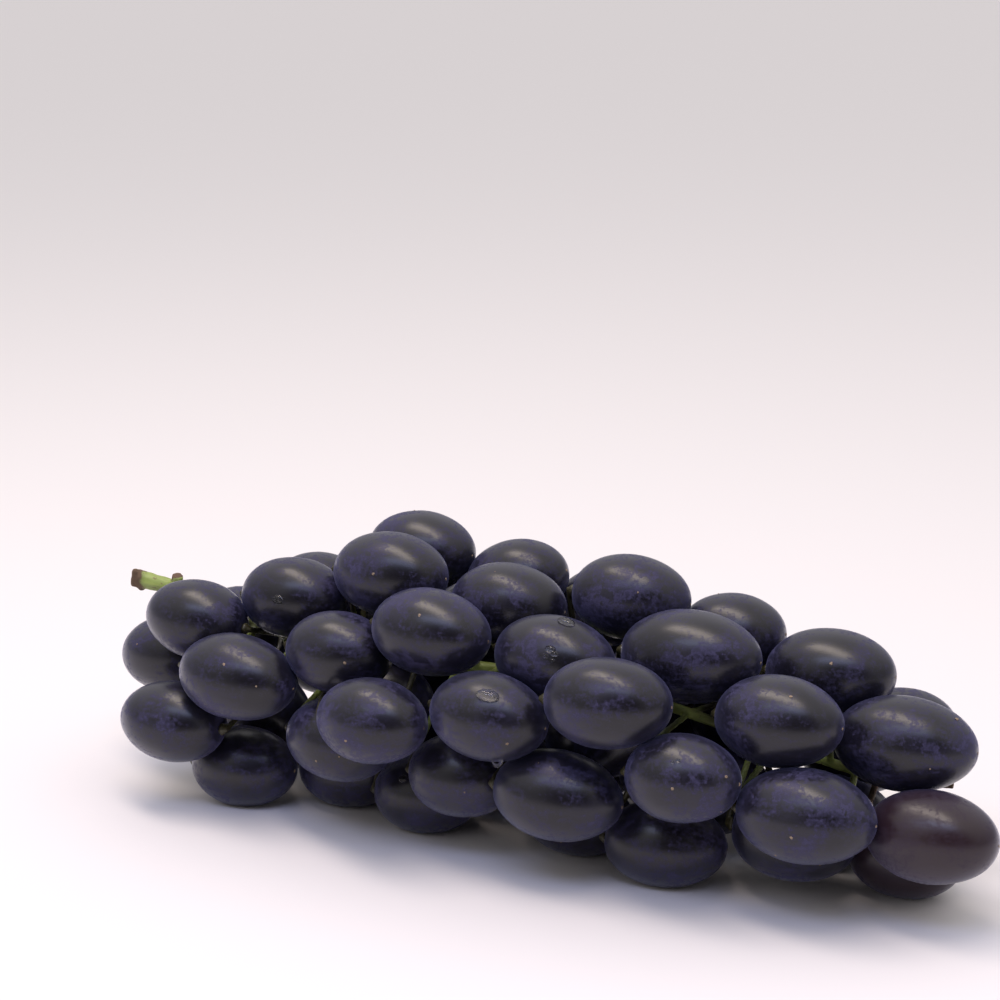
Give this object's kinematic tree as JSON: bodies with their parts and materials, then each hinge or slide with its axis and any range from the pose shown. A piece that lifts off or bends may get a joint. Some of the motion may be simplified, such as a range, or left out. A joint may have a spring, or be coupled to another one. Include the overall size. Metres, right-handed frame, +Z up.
{
  "type": "bunch of grapes",
  "caption": "Bunch of dark blue-black oval table grapes lying on its side: close-packed berries on one green branched stalk with a cut end.",
  "frame": {"origin": "on the surface the bunch lies on, under the middle of its bounding box", "axes": "+X along the bunch from the cut stalk to the tip, +Z up, -Y towards the bunch's fuller front side"},
  "size_m": [0.2424, 0.1006, 0.0737],
  "materials": {
    "skin": "blue-black skin under a patchy grey-blue waxy bloom, satin",
    "stalk": "fresh yellow-green stem, browned and dry at the cut end"
  },
  "bodies": {
    "root": {"berry_ground_front_1": "skin", "berry_ground_front_2": "skin", "berry_ground_front_3": "skin", "berry_ground_front_4": "skin", "berry_ground_front_5": "skin", "berry_ground_front_6": "skin", "berry_ground_front_7": "skin", "berry_low_front_1": "skin", "berry_low_front_2": "skin", "berry_low_front_3": "skin", "berry_low_front_4": "skin", "berry_middle_front_1": "skin", "berry_middle_front_2": "skin", "berry_middle_front_3": "skin", "berry_middle_front_4": "skin", "berry_middle_front_5": "skin", "berry_middle_front_6": "skin", "berry_middle_front_7": "skin", "berry_middle_front_8": "skin", "berry_high_front_1": "skin", "berry_high_front_2": "skin", "berry_high_front_3": "skin", "berry_high_front_4": "skin", "berry_high_front_5": "skin", "berry_high_front_6": "skin", "berry_high_front_7": "skin", "berry_crown_1": "skin", "berry_crown_2": "skin", "berry_crown_3": "skin", "berry_crown_4": "skin", "berry_crown_5": "skin", "berry_crown_6": "skin", "berry_crown_back_1": "skin", "berry_crown_back_2": "skin", "berry_crown_back_3": "skin", "berry_crown_back_4": "skin", "berry_crown_back_5": "skin", "berry_high_back_1": "skin", "berry_high_back_2": "skin", "berry_high_back_3": "skin", "berry_high_back_4": "skin", "berry_high_back_5": "skin", "berry_high_back_6": "skin", "berry_low_back_1": "skin", "berry_low_back_2": "skin", "berry_low_back_3": "skin", "berry_low_back_4": "skin", "berry_low_back_5": "skin", "berry_low_back_6": "skin", "berry_ground_back_1": "skin", "berry_ground_back_2": "skin", "berry_ground_back_3": "skin", "berry_ground_back_4": "skin", "berry_ground_back_5": "skin", "berry_ground_back_6": "skin", "berry_heart_1": "skin", "berry_heart_2": "skin", "berry_heart_3": "skin", "berry_heart_4": "skin", "stalk": "stalk"}
  },
  "joints": []
}
